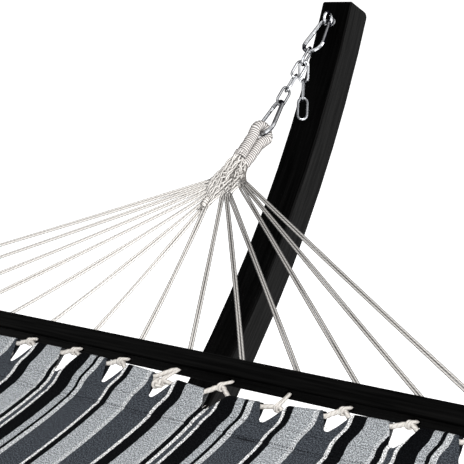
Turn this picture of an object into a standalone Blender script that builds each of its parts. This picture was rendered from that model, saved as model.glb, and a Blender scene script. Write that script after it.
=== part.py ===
"""Curved timber hammock stand with a striped spreader-bar hammock hung in it.

World frame: X along the hammock, Y across it, Z up, origin on the floor under the middle.
Everything is in metres. The +X end ("right") is modelled, and the -X end mirrors it.
"""

import math

import bmesh
import bpy
from mathutils import Matrix, Vector

# --- Stand -----------------------------------------------------------------------------
BEAM = 0.070                 # the laminated beam is square: 70 mm across and 70 mm deep
ARC_RADIUS = 2.060           # to the inner, concave face
ARC_BOTTOM = 0.090           # lowest point of the arc above the floor
ARC_END = 65.0               # degrees from the bottom of the arc to the arm's end
ARC_JOINT = 24.0             # degrees from the bottom to the splice
ARC_STEP = 2.5               # degrees between the points of an arc
END_ROUND = 0.010            # outer corner of the arm's end
EDGE = 0.003                 # eased timber edges
GAP = 0.0003                 # between solids that touch
ARC_CENTRE = ARC_BOTTOM + ARC_RADIUS + BEAM
ARC_CLEAR = GAP + ARC_RADIUS * (1 - math.cos(math.radians(ARC_STEP / 2)))   # over its facets

FOOT_X = 0.620               # middle of a cross foot
FOOT_HALF = 0.600            # half its length
FOOT_SEAT = 0.090            # length of the flat seat over each pad
FOOT_DEPTH = 0.070
HOUSING = 0.025              # how deep the arc is let into the foot
FOOT_SCREW = 0.105           # how deep its screw reaches from the arc's inner face
PAD_HEIGHT = 0.020
PAD_RADIUS = 0.032

BRACE_Z = (0.112, 0.152)
BRACE_WIDTH = 0.040
BRACE_FOOT_Y = 0.400         # outer edge of the brace on the foot
BRACE_ARC_X = 0.200          # inner edge of the brace on the arc

SPLICE_HALF = 0.120          # half the length of the steel channel
SPLICE_WALL = 0.003
SPLICE_FLANGE = 0.050
BOLT_OFFSET = 0.060          # splice bolts, to each side of the joint
BOLT_RADIUS = 0.004
HEAD_RADIUS = 0.010
NUT_RADIUS = 0.0075

# --- Suspension ------------------------------------------------------------------------
EYE_ANGLE = 63.7             # where the eye bolt goes through the arm
EYE_STANDOFF = 0.020         # ring centre from the inner face
EYE_RING = 0.0135            # ring radius to the middle of its wire
EYE_WIRE = 0.0035
EYE_SHANK = 0.005

HOOK_LENGTH = 0.095
HOOK_WIRE = 0.0042
HOOK_NARROW = 0.010          # radius of the narrow end to the middle of the wire
HOOK_WIDE = 0.020            # the same at the wide end
GATE_START = 0.13            # share of the straight leg at the gate's pivot
GATE_END = 0.93              # and at its nose
GATE_WIRE = 0.0035

LINK_LENGTH = 0.048
LINK_WIDTH = 0.024
LINK_WIRE = 0.00275
LINK_COUNT = 4
TAIL_COUNT = 3

HANG_SLOPES = (39.8, 39.8, 39.5, 39.2, 38.8, 38.3)   # hook, four links, hook: degrees
LOWER_TURN = -13.0                                   # roll of the lower hook about the chain
LINK_TURNS = (108.0, 36.0, 144.0, 72.0)              # roll of each link about the chain
TAIL_TURNS = (8.0, 118.0, 35.0)                      # roll of each spare link
TAIL_LEANS = (5.0, 6.0, 7.0)                         # their lean away from the arm
TAIL_AT = 0.0355                                     # where they hang on the first link

# --- Clew and cords --------------------------------------------------------------------
FAN = Vector((1.516, 0.0, 1.061))     # where the lines of the cords meet
ROPE = 0.0096                         # radius of the wrapped rope round the eye
EYE_BEND = 0.0150                     # radius of its bend to the middle of the rope
EYE_TURN = 66.0                       # roll of the eye about its length
NECK_LENGTH = 0.041
CLEW_LENGTH = 0.076                   # from the hook to the end of the wrapping
THROAT_REACH = 0.060                  # the plaited part, from FAN
CORD = 0.003                          # a doubled cord's radius as one tube

# --- Bed -------------------------------------------------------------------------------
BAR_AT = Vector((1.130, 0.0, 0.825))
BAR_LENGTH = 1.455
BAR_WIDTH = 0.035            # along the cords
BAR_DEPTH = 0.030
BAR_EDGE = 0.0025
HOLES = 14
HOLE_PITCH = 0.105
HOLE_RADIUS = 0.0065
HEM_ROPE = 0.003
HEM_OFFSET = 0.045           # hem rope from the middle of the bar

CLOTH_HALF = 0.710           # half width at the ends
CLOTH_WAIST = 0.025          # how far each side pulls in at the middle
CLOTH_THICK = 0.003
CLOTH_SLOPE_MID = 13.0       # degrees down from the hem, on the centre line
CLOTH_SLOPE_SIDE = 6.0       # and along the sides
CLOTH_DIP = 0.355            # extra slope right at the hem, as a tangent
CLOTH_DIP_LENGTH = 0.060

MIRROR = Matrix.Scale(-1, 4, (1, 0, 0))


# --- Scene helpers ---------------------------------------------------------------------
def clear_scene():
    for obj in list(bpy.data.objects):
        bpy.data.objects.remove(obj, do_unlink=True)


def collection(name):
    made = bpy.data.collections.new(name)
    bpy.context.scene.collection.children.link(made)
    return made


def material(name, colour, roughness, metallic=0.0):
    made = bpy.data.materials.new(name)
    made.use_nodes = True
    shader = made.node_tree.nodes["Principled BSDF"]
    shader.inputs["Base Color"].default_value = (*colour, 1.0)
    shader.inputs["Roughness"].default_value = roughness
    shader.inputs["Metallic"].default_value = metallic
    return made


clear_scene()
PARTS = collection("hammock_on_stand")
CUTTERS = collection("cutters")
TIMBER = material("black_timber", (0.012, 0.012, 0.013), 0.45)
ZINC = material("zinc_steel", (0.70, 0.71, 0.73), 0.28, 1.0)
BLACK_STEEL = material("black_steel", (0.02, 0.02, 0.02), 0.40, 1.0)
RUBBER = material("rubber", (0.02, 0.02, 0.02), 0.80)
COTTON_CORD = material("cotton_cord", (0.80, 0.77, 0.71), 0.90)
STRIPED_CLOTH = material("striped_cloth", (0.22, 0.23, 0.25), 0.92)


def add(obj, finish=None):
    PARTS.objects.link(obj)
    if finish:
        obj.data.materials.clear()
        obj.data.materials.append(finish)
    return obj


def baked(obj):
    """The same object with its modifiers, or its curve, turned into one welded mesh."""
    bpy.context.view_layer.update()
    graph = bpy.context.evaluated_depsgraph_get()
    mesh = bpy.data.meshes.new_from_object(obj.evaluated_get(graph))
    work = bmesh.new()
    work.from_mesh(mesh)
    bmesh.ops.remove_doubles(work, verts=work.verts, dist=1e-6)
    bmesh.ops.recalc_face_normals(work, faces=work.faces)
    work.to_mesh(mesh)
    work.free()
    name, place, home = obj.name, obj.matrix_world.copy(), obj.users_collection[0]
    finish = list(obj.data.materials)
    bpy.data.objects.remove(obj, do_unlink=True)
    made = bpy.data.objects.new(name, mesh)
    made.matrix_world = place
    home.objects.link(made)
    mesh.materials.clear()
    for one in finish:
        mesh.materials.append(one)
    return made


def boolean(obj, other, operation, crossing=False):
    """Adds other to obj, or takes it away, and drops other. crossing: other's runs overlap."""
    step = obj.modifiers.new(operation.lower(), "BOOLEAN")
    step.operation = operation
    step.object = other
    step.solver = "EXACT"
    step.use_self = crossing
    made = baked(obj)
    if operation == "UNION":
        bpy.data.objects.remove(other, do_unlink=True)
    return made


def as_cutter(obj):
    for home in list(obj.users_collection):
        home.objects.unlink(obj)
    CUTTERS.objects.link(obj)
    obj.hide_render = True
    obj.display_type = "WIRE"
    return obj


def bevelled(obj, width, segments=1):
    step = obj.modifiers.new("edges", "BEVEL")
    step.width = width
    step.segments = segments
    step.limit_method = "ANGLE"
    step.angle_limit = math.radians(40)
    return baked(obj)


def smooth(obj, angle=35):
    obj.data.shade_smooth()
    obj.data.set_sharp_from_angle(angle=math.radians(angle))
    return obj


def mesh_object(name, build, finish=None):
    """An object whose mesh the function build fills in, with bmesh's primitives."""
    work = bmesh.new()
    build(work)
    mesh = bpy.data.meshes.new(name)
    work.to_mesh(mesh)
    work.free()
    return add(bpy.data.objects.new(name, mesh), finish)


def rod(work, radius, start, end, sides=16, end_radius=None):
    """A closed cylinder, or cone, between two points."""
    start, end = Vector(start), Vector(end)
    turn = (end - start).to_track_quat("Z", "Y").to_matrix().to_4x4()
    bmesh.ops.create_cone(
        work, cap_ends=True, segments=sides, radius1=radius,
        radius2=radius if end_radius is None else end_radius, depth=(end - start).length,
        matrix=Matrix.Translation((start + end) / 2) @ turn,
    )


def tube(name, runs, radius, finish=None, closed=False, rings=2):
    """One curve object that holds a round wire along each run of points."""
    data = bpy.data.curves.new(name, "CURVE")
    data.dimensions = "3D"
    data.bevel_depth = radius
    data.bevel_resolution = rings
    data.use_fill_caps = True
    for points in runs:
        spline = data.splines.new("POLY")
        spline.points.add(len(points) - 1)
        for spot, point in zip(spline.points, points):
            spot.co = (*point, 1.0)
        spline.use_cyclic_u = closed
    return add(bpy.data.objects.new(name, data), finish)


def plate(name, outline, thickness, finish=None):
    """A flat outline, given in its own XY plane, filled and half its thickness each way."""
    data = bpy.data.curves.new(name, "CURVE")
    data.dimensions = "2D"
    data.fill_mode = "BOTH"
    data.extrude = thickness / 2
    spline = data.splines.new("POLY")
    spline.points.add(len(outline) - 1)
    for spot, point in zip(spline.points, outline):
        spot.co = (point[0], point[1], 0.0, 1.0)
    spline.use_cyclic_u = True
    return add(bpy.data.objects.new(name, data), finish)


UPRIGHT = Matrix.Rotation(math.radians(90), 4, "X")     # turns a plate's Y into the world's Z


def pivot(name, place):
    made = bpy.data.objects.new(name, None)
    made.location = place
    PARTS.objects.link(made)
    return made


def attach(child, parent):
    bpy.context.view_layer.update()
    place = child.matrix_world.copy()
    child.parent = parent
    child.matrix_parent_inverse = parent.matrix_world.inverted()
    child.matrix_world = place


def twin(obj, name):
    """The piece at the -X end: the same mesh, mirrored across the middle."""
    made = bpy.data.objects.new(name, obj.data)
    made.matrix_world = MIRROR @ obj.matrix_world
    PARTS.objects.link(made)
    return made


# --- Arc and places on it --------------------------------------------------------------
def on_arc(radius, degrees, y=0.0):
    angle = math.radians(degrees)
    return Vector((radius * math.sin(angle), y, ARC_CENTRE - radius * math.cos(angle)))


def out_of_arc(degrees):
    """The direction straight through the beam, from its inner face to its outer one."""
    angle = math.radians(degrees)
    return Vector((math.sin(angle), 0.0, -math.cos(angle)))


def arc_points(radius, start, end):
    steps = max(1, round(abs(end - start) / ARC_STEP))
    angles = [start + (end - start) * i / steps for i in range(steps + 1)]
    return [on_arc(radius, a).xz for a in angles]


def band(inner, outer, start, end):
    """A stretch of the arc, as an outline in X and Z."""
    return arc_points(inner, start, end) + arc_points(outer, end, start)


def rounded_band(inner, outer, start, end, corner):
    """The same with the outer corner at its far end rounded."""
    turn = math.degrees(corner / outer)
    middle = on_arc(outer - corner, end - turn)
    along = Vector((math.cos(math.radians(end)), math.sin(math.radians(end))))
    across = out_of_arc(end).xz
    quarter = []
    for i in range(5):
        a = math.radians(90 * i / 4)
        quarter.append(middle.xz + corner * (along * math.cos(a) + across * math.sin(a)))
    return arc_points(inner, start, end) + quarter + arc_points(outer, end - turn, start)[1:]


def beam(name, outline, width, finish=None, edge=EDGE):
    made = plate(name, outline, width, finish)
    made.matrix_world = UPRIGHT
    made = baked(made)
    return bevelled(made, edge) if edge else made


def drill(obj, radius, start, end, sides=16):
    def fill(work):
        rod(work, radius, start, end, sides)

    cutter = as_cutter(mesh_object(f"{obj.name}_drill", fill))
    return boolean(obj, cutter, "DIFFERENCE")


FOOT_ANGLE = math.degrees(math.asin(FOOT_X / (ARC_RADIUS + BEAM)))


# --- Stand -----------------------------------------------------------------------------
def splice_bolts():
    """The two bolts of the +X splice: places at the middle of the beam, and their numbers."""
    middle = ARC_RADIUS + BEAM / 2
    turn = math.degrees(BOLT_OFFSET / middle)
    return [on_arc(middle, ARC_JOINT - turn), on_arc(middle, ARC_JOINT + turn)]


def foot_screw_line(start, end, side=1):
    """Two points of the foot screw's line, by their depth below the arc's inner face."""
    angle = side * FOOT_ANGLE
    face = on_arc(ARC_RADIUS, angle)
    return face + out_of_arc(angle) * start, face + out_of_arc(angle) * end


def build_arc(stand):
    outer = ARC_RADIUS + BEAM
    seam = math.degrees(GAP / 2 / outer)
    reach = Vector((0, BEAM, 0))
    inner_bolt, outer_bolt = splice_bolts()

    centre = beam("arc_center", band(ARC_RADIUS, outer, seam - ARC_JOINT, ARC_JOINT - seam),
                  BEAM, TIMBER)
    for side in (1, -1):
        place = Vector((side * inner_bolt.x, 0, inner_bolt.z))
        centre = drill(centre, BOLT_RADIUS + GAP, place - reach, place + reach)
        above, below = foot_screw_line(-BEAM, 2 * BEAM, side)
        centre = drill(centre, BOLT_RADIUS + GAP, above, below)
    attach(centre, stand)

    arm = beam("arc_arm_right",
               rounded_band(ARC_RADIUS, outer, ARC_JOINT + seam, ARC_END, END_ROUND),
               BEAM, TIMBER)
    arm = drill(arm, BOLT_RADIUS + GAP, outer_bolt - reach, outer_bolt + reach)
    through = out_of_arc(EYE_ANGLE) * BEAM
    face = on_arc(ARC_RADIUS, EYE_ANGLE)
    arm = drill(arm, EYE_SHANK + GAP, face - through, face + 2 * through)
    attach(arm, stand)
    attach(twin(arm, "arc_arm_left"), stand)


def foot_outline():
    """The cross foot from the front, in Y and Z: a shallow arch on two flat seats."""
    crown = on_arc(ARC_RADIUS + BEAM, FOOT_ANGLE).z
    top = crown + HOUSING
    base = PAD_HEIGHT + GAP
    span = FOOT_HALF - FOOT_SEAT
    rise = top - FOOT_DEPTH - base
    radius = (span * span + rise * rise) / (2 * rise)

    def under(y):
        return base + rise - radius + math.sqrt(radius * radius - y * y)

    def over(y):
        upper = radius + FOOT_DEPTH
        return base + rise - radius + math.sqrt(upper * upper - y * y)

    steps = 16
    below = [-span + 2 * span * i / steps for i in range(steps + 1)]
    above = [FOOT_HALF - 2 * FOOT_HALF * i / steps for i in range(steps + 1)]
    lower = [(-FOOT_HALF, base)] + [(y, under(y)) for y in below] + [(FOOT_HALF, base)]
    return lower + [(y, over(y)) for y in above]


def build_feet(stand):
    outer = ARC_RADIUS + BEAM
    foot = plate("cross_foot_right", foot_outline(), BEAM, TIMBER)
    turn = Matrix.Rotation(math.radians(90), 4, "Z")
    foot.matrix_world = Matrix.Translation((FOOT_X, 0, 0)) @ turn @ UPRIGHT
    foot = bevelled(baked(foot), EDGE)

    housing = plate("housing", band(ARC_RADIUS - BEAM, outer + ARC_CLEAR, 5, 30),
                    BEAM + 2 * GAP)
    housing.matrix_world = UPRIGHT
    foot = boolean(foot, as_cutter(baked(housing)), "DIFFERENCE")
    above, below = foot_screw_line(0, FOOT_SCREW + GAP)
    foot = drill(foot, BOLT_RADIUS + GAP, above, below)
    attach(foot, stand)
    attach(twin(foot, "cross_foot_left"), stand)

    def screw(work):
        rod(work, BOLT_RADIUS, *foot_screw_line(-ARC_CLEAR - 0.001, FOOT_SCREW), 12)

    def head(work):
        rod(work, HEAD_RADIUS * 0.7, *foot_screw_line(-ARC_CLEAR - 0.004, -ARC_CLEAR), 16,
            HEAD_RADIUS)

    made = mesh_object("foot_screw_right", screw, BLACK_STEEL)
    made = boolean(made, mesh_object("head", head), "UNION")
    attach(smooth(made), stand)
    attach(twin(made, "foot_screw_left"), stand)

    for label, y in (("near", -1), ("far", 1)):
        place = Vector((FOOT_X, y * (FOOT_HALF - FOOT_SEAT / 2), 0))

        def pad(work):
            rod(work, PAD_RADIUS, place, place + Vector((0, 0, PAD_HEIGHT)), 24,
                PAD_RADIUS - 0.004)

        made = smooth(mesh_object(f"foot_pad_right_{label}", pad, RUBBER))
        attach(made, stand)
        attach(twin(made, f"foot_pad_left_{label}"), stand)


def build_braces(stand):
    """Flat diagonal struts, cut to the foot's side and to the arc's side."""
    foot_face = FOOT_X - BEAM / 2 - GAP
    arc_face = BEAM / 2 + GAP
    run = Vector((foot_face - BRACE_ARC_X, BRACE_FOOT_Y - arc_face))
    angle = math.atan2(run.y, run.x)
    at_arc = BRACE_WIDTH / math.sin(angle)
    at_foot = BRACE_WIDTH / math.cos(angle)
    outline = [(BRACE_ARC_X, arc_face), (BRACE_ARC_X + at_arc, arc_face),
               (foot_face, BRACE_FOOT_Y - at_foot), (foot_face, BRACE_FOOT_Y)]
    low, high = BRACE_Z
    for label, side in (("far", 1), ("near", -1)):
        corners = [(x, side * y) for x, y in outline]
        brace = plate(f"brace_right_{label}", corners, high - low, TIMBER)
        brace.location.z = (low + high) / 2
        brace = bevelled(baked(brace), EDGE)
        attach(brace, stand)
        attach(twin(brace, f"brace_left_{label}"), stand)


def build_splice(stand):
    """A steel channel under the joint, held by one bolt through each beam."""
    outer = ARC_RADIUS + BEAM
    turn = math.degrees(SPLICE_HALF / outer)
    start, end = ARC_JOINT - turn, ARC_JOINT + turn
    lip = outer - SPLICE_FLANGE
    width = BEAM + 2 * (SPLICE_WALL + GAP)
    bottom = outer + ARC_CLEAR
    channel = beam("splice_channel_right", band(lip, bottom + SPLICE_WALL, start, end),
                   width, BLACK_STEEL, edge=0)
    hollow = plate("hollow", band(lip - BEAM, bottom, start - 2, end + 2), BEAM + 2 * GAP)
    hollow.matrix_world = UPRIGHT
    channel = boolean(channel, as_cutter(baked(hollow)), "DIFFERENCE")
    reach = Vector((0, BEAM, 0))
    for bolt in splice_bolts():
        channel = drill(channel, BOLT_RADIUS + GAP, bolt - reach, bolt + reach)
    attach(channel, stand)
    attach(twin(channel, "splice_channel_left"), stand)

    side = width / 2 + GAP
    head_height, nut_height, stick_out = 0.004, 0.007, 0.004
    for label, place in zip(("inner", "outer"), splice_bolts()):
        def at(y):
            return (place.x, y, place.z)

        def shank(work):
            rod(work, BOLT_RADIUS, at(-side - 0.001), at(side + nut_height + stick_out), 12)

        def head(work):
            rod(work, HEAD_RADIUS * 0.7, at(-side - head_height), at(-side), 16, HEAD_RADIUS)

        bolt = mesh_object(f"splice_bolt_right_{label}", shank, ZINC)
        bolt = smooth(boolean(bolt, mesh_object("head", head), "UNION"))
        attach(bolt, stand)
        attach(twin(bolt, f"splice_bolt_left_{label}"), stand)

        def hexagon(work):
            rod(work, NUT_RADIUS, at(side), at(side + nut_height), 6)

        nut = mesh_object(f"splice_nut_right_{label}", hexagon, ZINC)
        nut = smooth(drill(nut, BOLT_RADIUS + GAP, at(side - 0.01), at(side + 0.03)))
        attach(nut, stand)
        attach(twin(nut, f"splice_nut_left_{label}"), stand)


# --- Suspension ------------------------------------------------------------------------
def down_line(slope, turn):
    """Axes of a piece that hangs on a line of this slope: X down it, Y across the piece."""
    s, t = math.radians(slope), math.radians(turn)
    down = Vector((-math.cos(s), 0.0, -math.sin(s)))
    above = Vector((-math.sin(s), 0.0, math.cos(s)))
    across = Vector((0, 1, 0)) * math.cos(t) + above * math.sin(t)
    return down, across.normalized()


def placed(origin, down, across):
    """A matrix whose X axis is down and whose Y axis is across, at origin."""
    normal = down.cross(across)
    turn = Matrix((down, across, normal)).transposed().to_4x4()
    return Matrix.Translation(origin) @ turn


class Hang:
    """Works down the chain, from the ring to the rope eye, and keeps each piece's place."""

    def __init__(self):
        ring = on_arc(ARC_RADIUS - EYE_STANDOFF, EYE_ANGLE)
        self.ring = ring
        down, across = down_line(HANG_SLOPES[0], 0)
        self.ring_contact = ring + down * EYE_RING
        touch = EYE_WIRE + HOOK_WIRE + GAP
        self.upper = placed(ring + down * (EYE_RING - touch), down, across)
        foot = self.upper.translation + down * (HOOK_LENGTH - 2 * HOOK_WIRE)
        self.links = []
        step_back = HOOK_WIRE + LINK_WIRE + GAP
        for slope, turn in zip(HANG_SLOPES[1:5], LINK_TURNS):
            down, across = down_line(slope, turn)
            top = foot - down * step_back
            self.links.append(placed(top, down, across))
            foot = top + down * (LINK_LENGTH - 2 * LINK_WIRE)
            step_back = 2 * LINK_WIRE + GAP
        down, across = down_line(HANG_SLOPES[5], LOWER_TURN)
        top = foot - down * (HOOK_WIRE + LINK_WIRE + GAP)
        self.lower = placed(top, down, across)
        self.hook_foot = top + down * (HOOK_LENGTH - 2 * HOOK_WIRE)


HANG = Hang()


def hook_leg(share):
    """A point on the hook's straight leg, from the narrow end (0) to the wide end (1)."""
    centres = HOOK_LENGTH - 2 * HOOK_WIRE - HOOK_NARROW - HOOK_WIDE
    lean = math.asin((HOOK_WIDE - HOOK_NARROW) / centres)
    normal = Vector((-math.sin(lean), math.cos(lean), 0))
    start = Vector((HOOK_NARROW, 0, 0)) + normal * HOOK_NARROW
    end = Vector((HOOK_NARROW + centres, 0, 0)) + normal * HOOK_WIDE
    return start.lerp(end, share)


def hook_route():
    """The hook's wire in its own plane: from the gate's nose round both ends to the pivot."""
    centres = HOOK_LENGTH - 2 * HOOK_WIRE - HOOK_NARROW - HOOK_WIDE
    lean = math.degrees(math.asin((HOOK_WIDE - HOOK_NARROW) / centres))
    wide = Vector((HOOK_NARROW + centres, 0, 0))
    narrow = Vector((HOOK_NARROW, 0, 0))
    nose_gap, pivot_gap = 0.0005, 0.0006
    leg = (hook_leg(1) - hook_leg(0)).length
    route = [hook_leg(GATE_END + nose_gap / leg)]
    for i in range(10):
        a = math.radians(90 + lean - (180 + 2 * lean) * i / 9)
        route.append(wide + HOOK_WIDE * Vector((math.cos(a), math.sin(a), 0)))
    for i in range(8):
        a = math.radians(270 - lean - (180 - 2 * lean) * i / 7)
        route.append(narrow + HOOK_NARROW * Vector((math.cos(a), math.sin(a), 0)))
    route.append(hook_leg(GATE_START - pivot_gap / leg))
    return route


def build_hook(name, place, gate_side, body):
    """A pear-shaped snap hook, narrow end up, and its gate, which opens inwards."""
    flip = Matrix.Scale(gate_side, 4, (0, 1, 0))
    gate_start, gate_end = hook_leg(GATE_START), hook_leg(GATE_END)
    along = (gate_end - gate_start).normalized()
    tongue = 0.0012

    wire = baked(tube(f"{name}_hook_right", [hook_route()], HOOK_WIRE, ZINC))
    pin_half = Vector((0, 0, HOOK_WIRE * 0.9))
    inset = along * 0.004

    def tongue_and_pin(work):
        matrix = Matrix.Translation(gate_start + along * 0.001)
        matrix @= Matrix.Rotation(math.atan2(along.y, along.x), 4, "Z")
        matrix @= Matrix.Diagonal((0.014, 0.0044, 2 * tongue, 1))
        bmesh.ops.create_cube(work, size=1, matrix=matrix)

    def pin(work):
        rod(work, 0.0011, gate_start + inset - pin_half, gate_start + inset + pin_half, 10)

    wire = boolean(wire, mesh_object("tongue", tongue_and_pin), "UNION")
    wire = smooth(boolean(wire, mesh_object("pin", pin), "UNION"))
    wire.matrix_world = place @ flip
    attach(wire, body)
    attach(twin(wire, f"{name}_hook_left"), body)

    hinge = gate_start + inset

    def bar(work):
        rod(work, GATE_WIRE, gate_start - hinge, gate_end - hinge, 12)

    def slot(work):
        matrix = Matrix.Rotation(math.atan2(along.y, along.x), 4, "Z")
        matrix @= Matrix.Diagonal((0.030, 0.030, 2 * tongue + 2 * GAP, 1))
        bmesh.ops.create_cube(work, size=1, matrix=Matrix.Translation(-along * 0.0055) @ matrix)

    def bore(work):
        rod(work, 0.0011 + GAP, -2 * pin_half, 2 * pin_half, 12)

    gate = mesh_object(f"{name}_gate_right", bar, ZINC)
    gate = boolean(gate, as_cutter(mesh_object("slot", slot)), "DIFFERENCE")
    gate = smooth(boolean(gate, as_cutter(mesh_object("bore", bore)), "DIFFERENCE"))
    gate.matrix_world = place @ flip @ Matrix.Translation(hinge)
    attach(gate, body)
    attach(twin(gate, f"{name}_gate_left"), body)


def link_route():
    """A chain link in its own plane, its upper end at the origin and X down it."""
    bend = LINK_WIDTH / 2 - LINK_WIRE
    straight = LINK_LENGTH - LINK_WIDTH
    route = []
    for middle, start in ((bend, 90), (bend + straight, -90)):
        for i in range(7):
            a = math.radians(start + 180 * i / 6)
            route.append(Vector((middle + bend * math.cos(a), bend * math.sin(a), 0)))
    return route


def build_chain(body):
    shape = link_route()
    for number, place in enumerate(HANG.links, 1):
        link = smooth(baked(tube(f"chain_link_{number}_right", [shape], LINK_WIRE, ZINC, True)))
        link.matrix_world = place
        attach(link, body)
        attach(twin(link, f"chain_link_{number}_left"), body)


def tail_places():
    """Where the spare links hang: the first is on the lower leg of the chain's first link."""
    first = HANG.links[0]
    bend = LINK_WIDTH / 2 - LINK_WIRE
    past = TAIL_AT - (LINK_LENGTH - LINK_WIDTH + bend)
    leg = first @ Vector((TAIL_AT, -math.sqrt(bend * bend - past * past), 0))
    reach = LINK_LENGTH - 2 * LINK_WIRE
    touch = 2 * LINK_WIRE + GAP
    top = leg + Vector((0, 0, 0.0016))
    places = []
    for turn, lean in zip(TAIL_TURNS, TAIL_LEANS):
        t = math.radians(turn)
        tilt = Matrix.Rotation(math.radians(lean), 3, "Y")
        down = tilt @ Vector((0, 0, -1))
        across = tilt @ Vector((-math.sin(t), math.cos(t), 0))
        top = top - down * touch
        places.append(placed(top, down, across))
        top = top + down * reach
    return places


def build_tail(body):
    """Each spare link's origin is on the wire of the link that it hangs from."""
    hang = 2 * LINK_WIRE + GAP
    shape = [point - Vector((hang, 0, 0)) for point in link_route()]
    parents = {"right": body, "left": body}
    for number, place in enumerate(tail_places(), 1):
        link = smooth(baked(tube(f"tail_link_{number}_right", [shape], LINK_WIRE, ZINC, True)))
        link.matrix_world = place @ Matrix.Translation((hang, 0, 0))
        other = twin(link, f"tail_link_{number}_left")
        attach(link, parents["right"])
        attach(other, parents["left"])
        parents = {"right": link, "left": other}


def build_eye_bolt(stand):
    out = out_of_arc(EYE_ANGLE)
    ring = HANG.ring
    face = on_arc(ARC_RADIUS, EYE_ANGLE)
    collar, nut_height = 0.003, 0.008
    rest = face - out * ARC_CLEAR
    back = face + out * (BEAM + GAP)

    def torus_route():
        angles = [math.radians(360 * i / 20) for i in range(20)]
        across = Vector((0, 1, 0)).cross(out)
        return [ring + EYE_RING * (out * math.cos(a) + across * math.sin(a)) for a in angles]

    def shank(work):
        rod(work, EYE_SHANK, ring + out * EYE_RING, back + out * (nut_height + 0.004), 12)

    def washer(work):
        rod(work, 0.009, rest - out * collar, rest, 16)

    bolt = baked(tube("eye_bolt_right", [torus_route()], EYE_WIRE, ZINC, True))
    bolt = boolean(bolt, mesh_object("shank", shank), "UNION")
    bolt = smooth(boolean(bolt, mesh_object("collar", washer), "UNION"))
    attach(bolt, stand)
    attach(twin(bolt, "eye_bolt_left"), stand)

    def flange(work):
        rod(work, 0.011, back, back + out * 0.002, 20, 0.0095)

    def hexagon(work):
        rod(work, 0.0085, back + out * 0.001, back + out * nut_height, 6)

    nut = mesh_object("eye_nut_right", flange, ZINC)
    nut = boolean(nut, mesh_object("hexagon", hexagon), "UNION")
    nut = smooth(drill(nut, EYE_SHANK + GAP, back - out * 0.01, back + out * 0.03))
    attach(nut, stand)
    attach(twin(nut, "eye_nut_left"), stand)


# --- Clew, cords, bars and cloth -------------------------------------------------------
UP_CORDS = (FAN - BAR_AT).normalized()                 # from the bar to the clew
BAR_TOP = Vector((-UP_CORDS.z, 0, UP_CORDS.x))         # out of the bar's upper face


def hole_rows():
    return [(i - (HOLES - 1) / 2) * HOLE_PITCH for i in range(HOLES)]


def build_clew(body):
    """The wrapped rope eye: a bend round the hook, then both legs bound into one neck."""
    slope = math.degrees(math.atan2(HANG.hook_foot.z - FAN.z, HANG.hook_foot.x - FAN.x))
    down, across = down_line(slope, EYE_TURN)
    rest = HOOK_WIRE + ROPE + 0.0006
    bend = Vector((EYE_BEND - rest, 0, 0))
    close = ROPE + 0.0004
    route = []
    for i in range(11):
        a = math.radians(90 + 180 * i / 10)
        route.append(bend + EYE_BEND * Vector((math.cos(a), math.sin(a), 0)))
    merge = 0.038
    left = [Vector((merge, close, 0)), Vector((CLEW_LENGTH - 0.012, close, 0))]
    right = [Vector((p.x, -p.y, 0)) for p in left]
    route = left[::-1] + route + right

    eye = baked(tube("clew_right", [route], ROPE, COTTON_CORD, rings=3))

    def neck(work):
        rod(work, 1.0, (CLEW_LENGTH - NECK_LENGTH, 0, 0), (CLEW_LENGTH, 0, 0), 16, 0.86)
        bmesh.ops.scale(work, vec=(1, 0.0218, 0.0116), verts=work.verts)

    eye = smooth(boolean(eye, mesh_object("neck", neck), "UNION"))
    eye.matrix_world = placed(HANG.hook_foot, down, across)
    attach(eye, body)
    attach(twin(eye, "clew_left"), body)


def build_fan(body):
    """Plaited throat below the clew, and a doubled cord to and through each hole."""
    widest = hole_rows()[-1]
    back = (FAN - BAR_AT).length - BAR_WIDTH / 2
    spread = math.atan2(widest, back) + math.radians(4)
    steps = 10
    arc = []
    for i in range(steps + 1):
        a = -spread + 2 * spread * i / steps
        arc.append((THROAT_REACH * math.cos(a), THROAT_REACH * math.sin(a)))
    outline = [(0.006, 0.016), (0.006, -0.016)] + arc
    throat = plate("fan_cords_right", outline, 0.008, COTTON_CORD)
    throat.matrix_world = placed(FAN, -UP_CORDS, Vector((0, 1, 0)))
    throat = baked(throat)

    runs = []
    for y in hole_rows():
        mouth = BAR_AT + UP_CORDS * (BAR_WIDTH / 2) + Vector((0, y, 0))
        start = FAN + (mouth - FAN).normalized() * (THROAT_REACH - 0.010)
        end = BAR_AT - UP_CORDS * (HEM_OFFSET - HEM_ROPE - GAP) + Vector((0, y, 0))
        runs.append([start, mouth, end])
    cords = baked(tube("cords", runs, CORD))
    fan = smooth(boolean(throat, cords, "UNION", crossing=True))
    attach(fan, body)
    attach(twin(fan, "fan_cords_left"), body)


def build_bar(body):
    tilt = math.atan2(UP_CORDS.z, UP_CORDS.x)
    place = Matrix.Translation(BAR_AT) @ Matrix.Rotation(-tilt, 4, "Y")

    def block(work):
        matrix = Matrix.Diagonal((BAR_WIDTH, BAR_LENGTH, BAR_DEPTH, 1))
        bmesh.ops.create_cube(work, size=1, matrix=matrix)

    def holes(work):
        for y in hole_rows():
            rod(work, HOLE_RADIUS, (-BAR_WIDTH, y, 0), (BAR_WIDTH, y, 0), 12)

    bar = bevelled(mesh_object("spreader_bar_right", block, TIMBER), BAR_EDGE, 2)
    bar = boolean(bar, as_cutter(mesh_object("bar_holes", holes)), "DIFFERENCE")
    bar.matrix_world = place
    attach(bar, body)
    attach(twin(bar, "spreader_bar_left"), body)


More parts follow.
